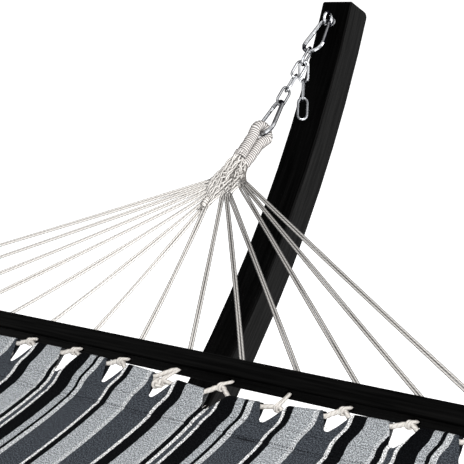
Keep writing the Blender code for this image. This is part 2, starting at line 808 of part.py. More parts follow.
def build_hem_rope(body):
    middle = BAR_AT - UP_CORDS * HEM_OFFSET
    ends = [middle + Vector((0, -CLOTH_HALF, 0)), middle + Vector((0, CLOTH_HALF, 0))]
    rope = smooth(baked(tube("hem_rope_right", [ends], HEM_ROPE, COTTON_CORD)))
    attach(rope, body)
    attach(twin(rope, "hem_rope_left"), body)


def cloth_end():
    return BAR_AT - UP_CORDS * (HEM_OFFSET + HEM_ROPE + 2 * GAP)


def cloth_drop(x, across):
    """How far the cloth lies below its end; across is 0 on the centre line, 1 at a side."""
    reach = cloth_end().x
    slope = CLOTH_SLOPE_SIDE + (CLOTH_SLOPE_MID - CLOTH_SLOPE_SIDE) * (1 - across * across)
    bow = math.tan(math.radians(slope)) * (reach * reach - x * x) / (2 * reach)
    dip = CLOTH_DIP * CLOTH_DIP_LENGTH * (1 - math.exp(-(reach - abs(x)) / CLOTH_DIP_LENGTH))
    return bow + dip


def build_cloth(body):
    end = cloth_end()
    work = bmesh.new()
    rows, columns = 36, 8
    bmesh.ops.create_grid(work, x_segments=rows, y_segments=columns, size=0.5)
    for point in work.verts:
        along, across = 2 * point.co.x, 2 * point.co.y
        x = end.x * math.sin(along * math.pi / 2)
        half = CLOTH_HALF - CLOTH_WAIST * (1 - (x / end.x) ** 2)
        point.co = (x, across * half, end.z - cloth_drop(x, across))
    mesh = bpy.data.meshes.new("cloth_bed")
    work.to_mesh(mesh)
    work.free()
    cloth = add(bpy.data.objects.new("cloth_bed", mesh), STRIPED_CLOTH)
    shell = cloth.modifiers.new("thickness", "SOLIDIFY")
    shell.thickness = CLOTH_THICK
    shell.offset = 0
    attach(smooth(baked(cloth)), body)


def main():
    stand = pivot("stand_origin", (0, 0, 0))
    swing = pivot("swing_axis", (0, 0, HANG.ring_contact.z))
    roll = pivot("roll_axis", (0, 0, FAN.z))
    attach(roll, swing)
    build_arc(stand)
    build_feet(stand)
    build_braces(stand)
    build_splice(stand)
    build_eye_bolt(stand)
    build_hook("upper", HANG.upper, -1, swing)
    build_hook("lower", HANG.lower, 1, swing)
    build_chain(swing)
    build_tail(swing)
    build_clew(swing)
    build_fan(roll)
    build_bar(roll)
    build_hem_rope(roll)
    build_cloth(roll)


main()
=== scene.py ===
"""Looks of the hammock on its stand: camera, light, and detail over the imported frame."""

import math
import random

import bmesh
import bpy
import numpy as np
from mathutils import Matrix, Vector, noise


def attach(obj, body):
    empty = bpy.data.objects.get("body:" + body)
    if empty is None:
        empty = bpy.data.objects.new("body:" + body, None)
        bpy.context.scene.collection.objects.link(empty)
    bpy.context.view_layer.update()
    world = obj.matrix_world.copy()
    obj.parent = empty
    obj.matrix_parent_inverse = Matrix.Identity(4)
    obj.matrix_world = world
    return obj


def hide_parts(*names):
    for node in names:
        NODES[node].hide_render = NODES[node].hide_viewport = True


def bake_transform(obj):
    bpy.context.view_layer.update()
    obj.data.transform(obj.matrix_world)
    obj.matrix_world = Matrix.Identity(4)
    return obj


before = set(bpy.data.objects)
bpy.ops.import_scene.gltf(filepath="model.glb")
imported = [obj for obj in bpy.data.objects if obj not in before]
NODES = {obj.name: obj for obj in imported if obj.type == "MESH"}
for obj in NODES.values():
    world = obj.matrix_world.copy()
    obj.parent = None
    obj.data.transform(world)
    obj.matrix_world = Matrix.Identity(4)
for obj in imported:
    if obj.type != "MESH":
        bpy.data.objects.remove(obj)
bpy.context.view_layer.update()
random.seed(7)

# The part's own route dimensions, in metres.
BAR_AT = Vector((1.130, 0.0, 0.825))
FAN = Vector((1.516, 0.0, 1.061))
UP_CORDS = (FAN - BAR_AT).normalized()
BAR_TOP = Vector((-UP_CORDS.z, 0, UP_CORDS.x))
ACROSS = Vector((0, 1, 0))
HOLES = 14
PITCH = 0.105
LAST = HOLES - 1             # rank of the last cord, counted from 0
MIDDLE = (HOLES + 1) / 2     # holes are counted from 1, and this is the bar's middle
ARC_CENTRE = 2.22            # height of the middle of the arc's circle

HOOK_FOOT = Vector((1.5834, 0.0, 1.1159))
ROPE = 0.0096                # radius of the served rope
EYE_BEND = 0.0150            # radius of the bend round the hook
EYE_TURN = 66.0              # degrees the eye is turned about its own line
HOOK_WIRE = 0.0042
SERVING_TURN = 0.0043        # one turn of the thin binding
CLEW_LENGTH = 0.076
CLEW_LEAN = 0.11             # the pull is a little off centre
PLAITS = 2.5                 # how often each cord of the throat changes sides
CORD = 0.0023                # radius of each cord of a pair
CORD_APART = 0.0022          # from the middle of the pair to each cord
CORE = 0.0021                # radius of the cord inside the throat
MOUTH = 0.016                # from the bar's middle to where a cord goes in
# The doubled cords leave the plaited throat in groups: how many, and where the first and
# the last of them leaves, in millimetres across and down from FAN.
GROUPS = [(3, (50, 42), (47, 62)), (3, (40, 72), (26, 90)), (2, (20, 104), (15, 110)),
          (3, (-2, 74), (-17, 72)), (3, (-25, 46), (-33, 37))]

CLOTH_HALF = 0.710
CLOTH_WAIST = 0.025          # how far each side pulls in at the middle
CLOTH_START = 0.0486         # where the hem's straight line turns into the bed
STITCHES = 0.108             # the hem's double seam, from the middle of the bar
FLAP = 0.114                 # where the turned-in layer ends
HEM_END = 0.120              # where the finer rows of the mesh end
CLOTH_THICK = 0.0018
END_DROP = 0.355             # extra slope of the bed at the bar, and how soon it is gone
END_REACH = 0.060


# --- Camera and light ------------------------------------------------------------------
CAMERA_AT = (-0.2738, -1.3167, 1.4522)
YAW, DIP, ROLL = 36.907, 12.98, -2.2402      # degrees
LENS, SENSOR = 93.68, 36                     # millimetres


def add_camera():
    yaw, dip, roll = math.radians(YAW), math.radians(DIP), math.radians(ROLL)
    ahead = Vector((math.cos(yaw) * math.cos(dip), math.sin(yaw) * math.cos(dip),
                    -math.sin(dip)))
    level = Vector((math.sin(yaw), -math.cos(yaw), 0))
    above = level.cross(ahead)
    right = level * math.cos(roll) + above * math.sin(roll)
    up = above * math.cos(roll) - level * math.sin(roll)
    turn = Matrix((right, up, -ahead)).transposed().to_4x4()
    data = bpy.data.cameras.new("camera")
    data.lens = LENS
    data.sensor_width = SENSOR
    data.clip_end = 1000
    camera = bpy.data.objects.new("camera", data)
    camera.matrix_world = Matrix.Translation(CAMERA_AT) @ turn
    bpy.context.scene.collection.objects.link(camera)
    bpy.context.scene.camera = camera


def add_light(name, place, aim, size, power):
    data = bpy.data.lights.new(name, "AREA")
    data.shape = "DISK"
    data.size = size
    data.energy = power
    lamp = bpy.data.objects.new(name, data)
    lamp.location = place
    lamp.rotation_euler = (Vector(aim) - Vector(place)).to_track_quat("-Z", "Y").to_euler()
    bpy.context.scene.collection.objects.link(lamp)


def add_studio():
    world = bpy.data.worlds.new("studio")
    world.use_nodes = True
    tree = world.node_tree
    background = tree.nodes["Background"]
    place = tree.nodes.new("ShaderNodeTexCoord")
    split = tree.nodes.new("ShaderNodeSeparateXYZ")
    ramp = tree.nodes.new("ShaderNodeValToRGB")
    ramp.color_ramp.elements[0].position = 0.25
    ramp.color_ramp.elements[0].color = (0.30, 0.30, 0.31, 1)
    ramp.color_ramp.elements[1].position = 0.85
    ramp.color_ramp.elements[1].color = (1.0, 1.0, 1.0, 1)
    shift = tree.nodes.new("ShaderNodeMath")
    shift.operation = "MULTIPLY_ADD"
    shift.inputs[1].default_value = 0.5
    shift.inputs[2].default_value = 0.5
    tree.links.new(place.outputs["Generated"], split.inputs[0])
    tree.links.new(split.outputs["Z"], shift.inputs[0])
    tree.links.new(shift.outputs[0], ramp.inputs[0])
    tree.links.new(ramp.outputs[0], background.inputs["Color"])
    background.inputs["Strength"].default_value = 0.75
    bpy.context.scene.world = world
    add_light("key", (-1.6, -2.6, 4.2), (1.2, 0.0, 0.8), 3.4, 190)
    add_light("fill", (3.6, -3.0, 2.2), (1.4, 0.0, 0.8), 2.4, 60)
    bpy.context.scene.view_settings.view_transform = "Standard"


# --- Materials -------------------------------------------------------------------------
class Finish:
    """A Principled material and short ways to add nodes to it."""

    def __init__(self, name, roughness, metallic=0.0, specular=0.5):
        self.material = bpy.data.materials.new(name)
        self.material.use_nodes = True
        self.tree = self.material.node_tree
        self.shader = self.tree.nodes["Principled BSDF"]
        self.shader.inputs["Roughness"].default_value = roughness
        self.shader.inputs["Metallic"].default_value = metallic
        self.shader.inputs["Specular IOR Level"].default_value = specular

    def node(self, kind, *inputs, **settings):
        made = self.tree.nodes.new("ShaderNode" + kind)
        for key, value in settings.items():
            setattr(made, key, value)
        for socket, value in zip(made.inputs, inputs):
            self.feed(socket, value)
        return made

    def feed(self, socket, value):
        if value is None:
            return
        if isinstance(value, bpy.types.NodeSocket):
            self.tree.links.new(value, socket)
        else:
            socket.default_value = value

    def math(self, operation, *inputs):
        return self.node("Math", *inputs, operation=operation).outputs[0]

    def noise(self, vector, scale, detail=3.0, rough=0.55):
        made = self.node("TexNoise")
        self.feed(made.inputs["Vector"], vector)
        self.feed(made.inputs["Scale"], scale)
        self.feed(made.inputs["Detail"], detail)
        self.feed(made.inputs["Roughness"], rough)
        return made.outputs["Fac"]

    def mix(self, share, first, second, blend="MIX"):
        made = self.node("Mix", data_type="RGBA", blend_type=blend)
        self.feed(made.inputs["Factor"], share)
        self.feed(made.inputs[6], first)
        self.feed(made.inputs[7], second)
        return made.outputs[2]

    def ramp(self, value, stops, steps="LINEAR"):
        made = self.node("ValToRGB", value)
        ramp = made.color_ramp
        ramp.interpolation = steps
        while len(ramp.elements) < len(stops):
            ramp.elements.new(0.5)
        for element, (place, colour) in zip(ramp.elements, stops):
            element.position = place
            element.color = (*colour, 1) if len(colour) == 3 else colour
        return made.outputs[0]

    def split(self, vector):
        return self.node("SeparateXYZ", vector).outputs

    def join(self, x, y, z=0.0):
        return self.node("CombineXYZ", x, y, z).outputs[0]

    def scaled(self, *pairs):
        """A vector of up to three values, each times its own scale."""
        return self.join(*[self.math("MULTIPLY", value, scale) for value, scale in pairs])

    def bump(self, height, distance, strength=1.0):
        made = self.node("Bump")
        self.feed(made.inputs["Strength"], strength)
        self.feed(made.inputs["Distance"], distance)
        self.feed(made.inputs["Height"], height)
        self.tree.links.new(made.outputs[0], self.shader.inputs["Normal"])

    def colour(self, socket):
        self.feed(self.shader.inputs["Base Color"], socket)

    def roughness(self, socket):
        self.feed(self.shader.inputs["Roughness"], socket)

    def local(self):
        return self.node("TexCoord").outputs["Object"]

    def run(self):
        return self.split(self.node("UVMap", uv_map="run").outputs[0])


def timber(name, curved):
    """Black stain over straight grain, which follows the arc or runs along Y."""
    f = Finish(name, 0.5, specular=0.05)
    x, y, z = f.split(f.local())
    if curved:
        up = f.math("SUBTRACT", z, ARC_CENTRE)
        far = f.math("SQRT", f.math("ADD", f.math("MULTIPLY", x, x),
                                    f.math("MULTIPLY", up, up)))
        along = f.math("MULTIPLY", f.math("ARCTAN2", x, f.math("MULTIPLY", up, -1.0)), 2.0)
        x, y, z = far, along, y
    grain = f.noise(f.scaled((x, 260.0), (y, 7.0), (z, 260.0)), 1.0, 4.0, 0.6)
    broad = f.noise(f.scaled((x, 30.0), (y, 3.0), (z, 30.0)), 1.0, 2.0)
    base = f.ramp(grain, [(0.34, (0.0006, 0.0006, 0.0006)), (0.55, (0.0030, 0.0029, 0.0028)),
                          (0.78, (0.0070, 0.0067, 0.0064))])
    base = f.mix(f.math("MULTIPLY", broad, 0.5), base, (0.0018, 0.0018, 0.0018, 1))
    # Painted light: the colour is darkest on the faces laid along the bend and lighter on the
    # sawn sides and on faces that look up, as the lamps light those more; the gloss follows the
    # same share.
    _, side, top = f.split(f.node("TexCoord").outputs["Normal"])
    top = f.math("MAXIMUM", top, 0.0)
    share = f.math("MULTIPLY_ADD", f.math("ABSOLUTE", side), 0.80, 0.17)
    share = f.math("MULTIPLY_ADD", f.math("MULTIPLY", top, top), 0.50, share)
    f.colour(f.mix(1.0, base, f.join(share, share, share), "MULTIPLY"))
    streak = f.ramp(grain, [(0.40, (0, 0, 0)), (0.62, (1, 1, 1))])
    gloss = f.math("MULTIPLY", share, f.math("MULTIPLY_ADD", streak, 0.038, 0.030))
    f.feed(f.shader.inputs["Specular IOR Level"], gloss)
    f.roughness(f.math("MULTIPLY_ADD", grain, 0.25, 0.42))
    f.bump(grain, 0.0005, 0.5)
    return f.material


def steel(name, tint, rough, metallic, specular=0.5):
    """Plated or painted steel, with cloudy wear and fine pits."""
    f = Finish(name, rough, metallic, specular)
    place = f.local()
    cloud = f.noise(place, 90.0, 4.0)
    fine = f.noise(place, 1400.0, 2.0)
    dull = tuple(c * 0.72 for c in tint) + (1,)
    dulled_and_painted_light = f.mix(f.ramp(cloud, [(0.35, (0, 0, 0)), (0.65, (1, 1, 1))]), (*tint, 1), dull)
    if metallic:
        # Painted reflection: the round wire's colour is painted light in its middle and dark at
        # its sides, as if it mirrored a pale room, on top of its real reflection.
        f.shader.inputs["Specular Tint"].default_value = (0.12, 0.12, 0.13, 1)
        painted_rim = f.node("LayerWeight", 0.5).outputs["Facing"]
        dulled_and_painted_light = f.mix(1.0, dulled_and_painted_light, f.ramp(painted_rim, [(0.01, (1.1, 1.1, 1.1)), (0.07, (0.42, 0.43, 0.44)),
                                             (0.17, (1.2, 1.2, 1.2)),
                                             (0.37, (0.02, 0.02, 0.03))]), "MULTIPLY")
    f.colour(dulled_and_painted_light)
    f.roughness(f.math("MULTIPLY_ADD", cloud, 0.22, rough - 0.08))
    f.bump(fine, 0.0002, 0.25)
    return f.material


def rubber():
    f = Finish("pad_rubber", 0.75, specular=0.3)
    speck = f.noise(f.local(), 700.0, 3.0)
    f.colour(f.ramp(speck, [(0.3, (0.010, 0.010, 0.010)), (0.7, (0.030, 0.030, 0.031))]))
    f.bump(speck, 0.0004, 0.4)
    return f.material


def cotton(name, tint, lay, plies, depth, shade, painted_rim, narrow=3.5, packed=0.0, shade_start=0.22):
    """Twisted cotton: the plies wind along the run, which is (turn, metres).

    packed is how far from its start the cord lies among others; along that stretch its sides get
    a deeper painted shade, standing for the shade between the packed cords.
    Painted shade darkens the sides of the cord: it starts where the surface has turned away from
    the eye by the given threshold and reaches the given darkness a little further on.
    """
    f = Finish(name, 0.92, specular=0.15)
    around, along, _ = f.run()
    fuzz = f.noise(f.local(), 900.0, 4.0, 0.7)
    turn = f.math("ADD", f.math("MULTIPLY", around, float(plies)),
                  f.math("DIVIDE", along, lay))
    wave = f.math("ABSOLUTE", f.math("SUBTRACT", f.math("FRACT", turn), 0.5))
    groove = f.math("SUBTRACT", 1.0, f.math("POWER", f.math("MULTIPLY", wave, 2.0), narrow))
    light = (*tint, 1)
    dark = (tint[0] * shade, tint[1] * shade * 0.95, tint[2] * shade * 0.90, 1)
    plain = f.mix(f.ramp(fuzz, [(0.35, (0, 0, 0)), (0.7, (1, 1, 1))]),
                  (tint[0] * 0.86, tint[1] * 0.84, tint[2] * 0.80, 1), light)
    # Painted shade: the grooves between the plies are painted darker, down to the tint times
    # shade.
    laid = f.mix(f.math("SUBTRACT", 1.0, groove), plain, dark)
    # Painted shade: the sides of the cord, where its surface turns away from the eye, are
    # painted darker.
    edge = f.node("LayerWeight", 0.5).outputs["Facing"]
    painted_side_shade = f.ramp(edge, [(shade_start, (1, 1, 1)), (shade_start + 0.36, (painted_rim, painted_rim * 0.97, painted_rim * 0.95))])
    # Painted shade: in the packed throat the sides are painted darker still, for the shade
    # between the cords.
    if packed:
        painted_throat_shade = f.ramp(edge, [(0.08, (1, 1, 1)), (0.42, (0.16, 0.152, 0.146))])
        share = f.math("DIVIDE", f.math("SUBTRACT", packed, along), 0.045)
        share = f.math("MINIMUM", f.math("MAXIMUM", share, 0.0), 1.0)
        painted_side_shade = f.mix(share, painted_side_shade, painted_throat_shade)
    f.colour(f.mix(1.0, laid, painted_side_shade, "MULTIPLY"))
    height = f.math("ADD", f.math("MULTIPLY", groove, 0.8), f.math("MULTIPLY", fuzz, 0.3))
    f.bump(height, depth, 0.8)
    f.shader.inputs["Sheen Weight"].default_value = 0.15
    return f.material


BLACK = (0.0018, 0.0020, 0.0025)
SLATE = (0.040, 0.045, 0.053)
TWEED = (0.275, 0.289, 0.303)
PALE = (0.39, 0.40, 0.41)
CHALK = (0.53, 0.53, 0.53)
WARP, WEFT, STITCH = 0.0016, 0.0013, 0.0042  # two threads, two threads, one stitch
# One repeat, three holes wide: where each stripe starts, in millimetres, and its yarn.
STRIPES = [(0, CHALK), (4.6, BLACK), (33, TWEED), (46, BLACK), (52.5, PALE), (62.2, SLATE),
           (112.8, CHALK), (118, BLACK), (128.8, TWEED), (162, PALE), (170.5, SLATE),
           (218.2, CHALK), (224.2, BLACK), (245.2, TWEED), (283.5, PALE), (290.3, BLACK),
           (299.7, CHALK), (305.2, SLATE)]


def striped_cloth(name="striped_cotton", dulled_and_painted_light=0.0):
    """Woven stripes across the run, which is (metres across, metres from the bar).

    The last argument is how far the colour goes towards near black on the side that is turned
    in: partly the duller wrong side of the cloth, partly painted shade, as that layer lies in
    the outer layer's shadow.
    """
    f = Finish(name, 0.95, specular=0.03)
    across, along, _ = f.run()
    repeat = 3 * PITCH
    hairy = f.noise(f.scaled((across, 900.0), (along, 260.0)), 1.0, 3.0, 0.65)
    shifted = f.math("MULTIPLY_ADD", f.math("SUBTRACT", hairy, 0.5), 0.0022,
                     f.math("SUBTRACT", PITCH / 2, across))
    place = f.math("FRACT", f.math("DIVIDE", f.math("ADD", shifted, 20 * repeat), repeat))
    stripes = f.ramp(place, [(mm / 1000 / repeat, yarn) for mm, yarn in STRIPES], "CONSTANT")

    # Single threads: the warp runs along, and the dark weft shows between.
    warp = f.math("SINE", f.math("MULTIPLY", across, 2 * math.pi / WARP))
    weft = f.math("SINE", f.math("MULTIPLY", along, 2 * math.pi / WEFT))
    weave = f.math("MULTIPLY", warp, weft)
    fleck = f.noise(f.scaled((across, 560.0), (along, 400.0)), 1.0, 2.0, 0.85)
    flecked = f.ramp(fleck, [(0.34, (0.10, 0.11, 0.12)), (0.50, (0.86, 0.86, 0.86)),
                             (0.64, (2.9, 2.9, 2.85))])
    cloudy = f.noise(f.scaled((across, 55.0), (along, 16.0)), 1.0, 4.0)
    cloth = f.mix(0.85, stripes, flecked, "MULTIPLY")
    cloth = f.mix(0.30, cloth, f.ramp(cloudy, [(0.3, (0.70, 0.70, 0.70)),
                                               (0.7, (1.2, 1.2, 1.2))]), "MULTIPLY")
    specks = f.ramp(fleck, [(0.50, (0, 0, 0)), (0.66, (0.85, 0.85, 0.85))])
    lit = f.mix(1.0, f.mix(1.0, stripes, (2.5, 2.5, 2.5, 1), "MULTIPLY"),
                (0.005, 0.0055, 0.006, 1), "ADD")
    cloth = f.mix(specks, cloth, lit, "LIGHTEN")
    gap = f.math("MULTIPLY_ADD", weave, 0.10, 0.93)
    cloth = f.mix(1.0, cloth, f.join(gap, gap, gap), "MULTIPLY")

    # Three rows of stitches by the hem at each end.
    dash = f.math("LESS_THAN", f.math("FRACT", f.math("DIVIDE", across, STITCH)), 0.66)
    rows = None
    for seam, width in ((0.080, 0.0005), (STITCHES, 0.0007), (STITCHES + 0.006, 0.0007)):
        near = f.math("LESS_THAN", f.math("ABSOLUTE", f.math("SUBTRACT", along, seam)), width)
        rows = near if rows is None else f.math("MAXIMUM", rows, near)
    thread = f.math("MULTIPLY", rows, dash)
    cloth = f.mix(f.math("MULTIPLY", thread, 0.8), cloth, (0.006, 0.006, 0.007, 1))
    # On the turned-in layer the colour goes most of the way to near black: partly the duller
    # wrong side of the cloth, partly painted shade from the outer layer above it.
    f.colour(f.mix(dulled_and_painted_light, cloth, (0.004, 0.004, 0.005, 1)))
    height = f.math("ADD", f.math("MULTIPLY", weave, 0.25), f.math("MULTIPLY", fleck, 0.7))
    height = f.math("SUBTRACT", height, f.math("MULTIPLY", rows, 0.5))
    f.bump(height, 0.0009, 0.55)
    return f.material


def floor_finish():
    f = Finish("pale_floor", 0.9, specular=0.1)
    spot = f.noise(f.local(), 3.0, 4.0)
    f.colour(f.ramp(spot, [(0.2, (0.93, 0.93, 0.93)), (0.8, (0.97, 0.97, 0.97))]))
    f.shader.inputs["Emission Color"].default_value = (1, 1, 1, 1)
    f.shader.inputs["Emission Strength"].default_value = 0.55
    return f.material


# --- Meshes ----------------------------------------------------------------------------
def mesh_object(name, points, faces, run, finish):
    """run holds one pair for each corner of each face."""
    mesh = bpy.data.meshes.new(name)
    mesh.from_pydata(points.tolist(), [], faces)
    layer = mesh.uv_layers.new(name="run")
    layer.data.foreach_set("uv", np.asarray(run, np.float32).ravel())
    mesh.polygons.foreach_set("use_smooth", [True] * len(mesh.polygons))
    mesh.materials.append(finish)
    obj = bpy.data.objects.new(name, mesh)
    bpy.context.scene.collection.objects.link(obj)
    return obj


def smooth_path(route, step, closed=False):
    """Points about one step apart on a Catmull-Rom curve through the route."""
    route = [np.array(p, float) for p in route]
    ends = [route[-1], *route, route[0], route[1]] if closed else [
        2 * route[0] - route[1], *route, 2 * route[-1] - route[-2]]
    path = []
    for a, b, c, d in zip(ends, ends[1:], ends[2:], ends[3:]):
        count = max(1, round(float(np.linalg.norm(c - b)) / step))
        for t in np.arange(count) / count:
            path.append(0.5 * (2 * b + (c - a) * t + (2 * a - 5 * b + 4 * c - d) * t * t
                               + (3 * b - a - 3 * c + d) * t ** 3))
    if not closed:
        path.append(route[-1])
    return np.array(path)


class Strands:
    """Cords swept along routes and gathered into one mesh."""

    def __init__(self):
        self.points, self.faces, self.run, self.count = [], [], [], 0

    def add(self, route, radius, sides=8, step=0.004, shape=None, closed=False):
        """shape gives the radius at (metres along, angle) in place of a plain one."""
        path = smooth_path(route, step, closed)
        back = np.roll(path, 1, 0) if closed else np.vstack((path[:1], path[:-1]))
        on = np.roll(path, -1, 0) if closed else np.vstack((path[1:], path[-1:]))
        ahead = on - back
        ahead /= np.linalg.norm(ahead, axis=1)[:, None]
        side = np.cross(ahead[0], (0.3, 0.2, 0.93))
        if np.linalg.norm(side) < 0.2:
            side = np.cross(ahead[0], (1.0, 0.1, 0.0))
        sidewise = np.empty_like(path)
        for i, t in enumerate(ahead):
            side = side - t * side.dot(t)
            side /= np.linalg.norm(side)
            sidewise[i] = side
        other = np.cross(ahead, sidewise)
        gaps = np.linalg.norm(np.diff(path, axis=0), axis=1)
        along = np.concatenate(([0.0], np.cumsum(gaps)))
        angles = 2 * math.pi * np.arange(sides) / sides
        wide = np.full((len(path), sides), float(radius or 0))
        if shape is not None:
            wide = shape(along[:, None], angles[None, :])
        ring = (path[:, None] + wide[..., None]
                * (np.cos(angles)[None, :, None] * sidewise[:, None]
                   + np.sin(angles)[None, :, None] * other[:, None]))
        first, rows = self.count, len(path)
        self.points.append(ring.reshape(-1, 3))
        self.count += rows * sides
        last = rows if closed else rows - 1
        for i in range(last):
            here, there = first + i * sides, first + (i + 1) % rows * sides
            low = along[i]
            high = along[i + 1] if i + 1 < rows else low + 0.002
            for j in range(sides):
                k = (j + 1) % sides
                self.faces.append((here + j, here + k, there + k, there + j))
                a, b = j / sides, (j + 1) / sides
                self.run += [(a, low), (b, low), (b, high), (a, high)]
        if not closed:
            final = first + (rows - 1) * sides
            self.faces.append(tuple(range(first + sides - 1, first - 1, -1)))
            self.faces.append(tuple(range(final, final + sides)))
            self.run += [(0.0, 0.0)] * sides + [(0.0, float(along[-1]))] * sides

    def finish(self, name, finish):
        return mesh_object(name, np.vstack(self.points), self.faces, self.run, finish)


def mirrored(point, side):
    return Vector((point[0] * side, point[1], point[2]))


def hole_y(hole):
    return (MIDDLE - hole) * PITCH


def end_name(side):
    return "right" if side > 0 else "left"


# --- Clew, throat and cords ------------------------------------------------------------
def clew_axes():
    slope = math.atan2(HOOK_FOOT.z - FAN.z, HOOK_FOOT.x - FAN.x)
    down = Vector((-math.cos(slope), 0, -math.sin(slope)))
    above = Vector((-math.sin(slope), 0, math.cos(slope)))
    turn = math.radians(EYE_TURN)
    across = ACROSS * math.cos(turn) + above * math.sin(turn)
    return down, across, down.cross(across)


def whipping(along, angle):
    """A served rope: one ridge for each turn of the binding, laid a little askew.

    The short leg, which comes first, is served thicker than the long one.
    """
    lay = along + SERVING_TURN * angle / (2 * math.pi)
    ridge = np.abs(np.sin(math.pi * lay / SERVING_TURN)) ** 0.6
    loose = 0.0004 * np.sin(along * 90 + 2 * angle) + 0.0003 * np.sin(along * 350)
    thick = 0.0013 / (1 + np.exp((along - 0.046) / 0.004))
    return ROPE - 0.0006 + 0.0016 * ridge + loose + thick


def add_clew(side, finish):
    """The rope eye round the hook, both legs served with thin cord down to the throat."""
    down, across, normal = clew_axes()
    rest = HOOK_WIRE + ROPE + 0.0006     # from the hook's middle to the rope's
    flat = [(0.015, ROPE + 0.0008), (0.030, ROPE - 0.0004), (0.048, ROPE - 0.0008)]
    long_leg = flat + [(0.064, ROPE - 0.0020), (CLEW_LENGTH + 0.001, ROPE - 0.0040)]
    short_leg = [(x, y + 0.0009) for x, y in flat] + [(0.060, ROPE), (0.066, ROPE - 0.0010)]
    bend = []
    for i in range(9):
        a = math.radians(90 + 22.5 * i)
        skew = 0.0034 * math.sin(math.radians(22.5 * i)) ** 2
        bend.append((EYE_BEND - rest + EYE_BEND * math.cos(a) - 0.4 * skew,
                     EYE_BEND * math.sin(a) + skew))
    route = short_leg[::-1] + bend + [(x, -y) for x, y in long_leg]

    def place(x, y, z=0.0):
        lean = ACROSS * (CLEW_LEAN * max(x, 0.0))
        return mirrored(HOOK_FOOT + down * x + across * y + normal * z + lean, side)

    clew = Strands()
    clew.add([place(x, y) for x, y in route], None, 22, 0.00055, whipping)
    # A few last turns stand proud at the end of one leg.
    for n in range(3):
        x = 0.0575 + 0.0041 * n
        ring = []
        for i in range(16):
            a = 2 * math.pi * i / 16
            ring.append(place(x + 0.0015 * math.sin(a + 0.8), 0.0094 + 0.0104 * math.cos(a),
                              0.0106 * math.sin(a)))
        clew.add(ring, 0.0019, 8, 0.0025, closed=True)
    name = end_name(side)
    obj = clew.finish(f"whipped_eye_{name}", finish)
    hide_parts(f"clew_{name}")
    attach(obj, "suspension")


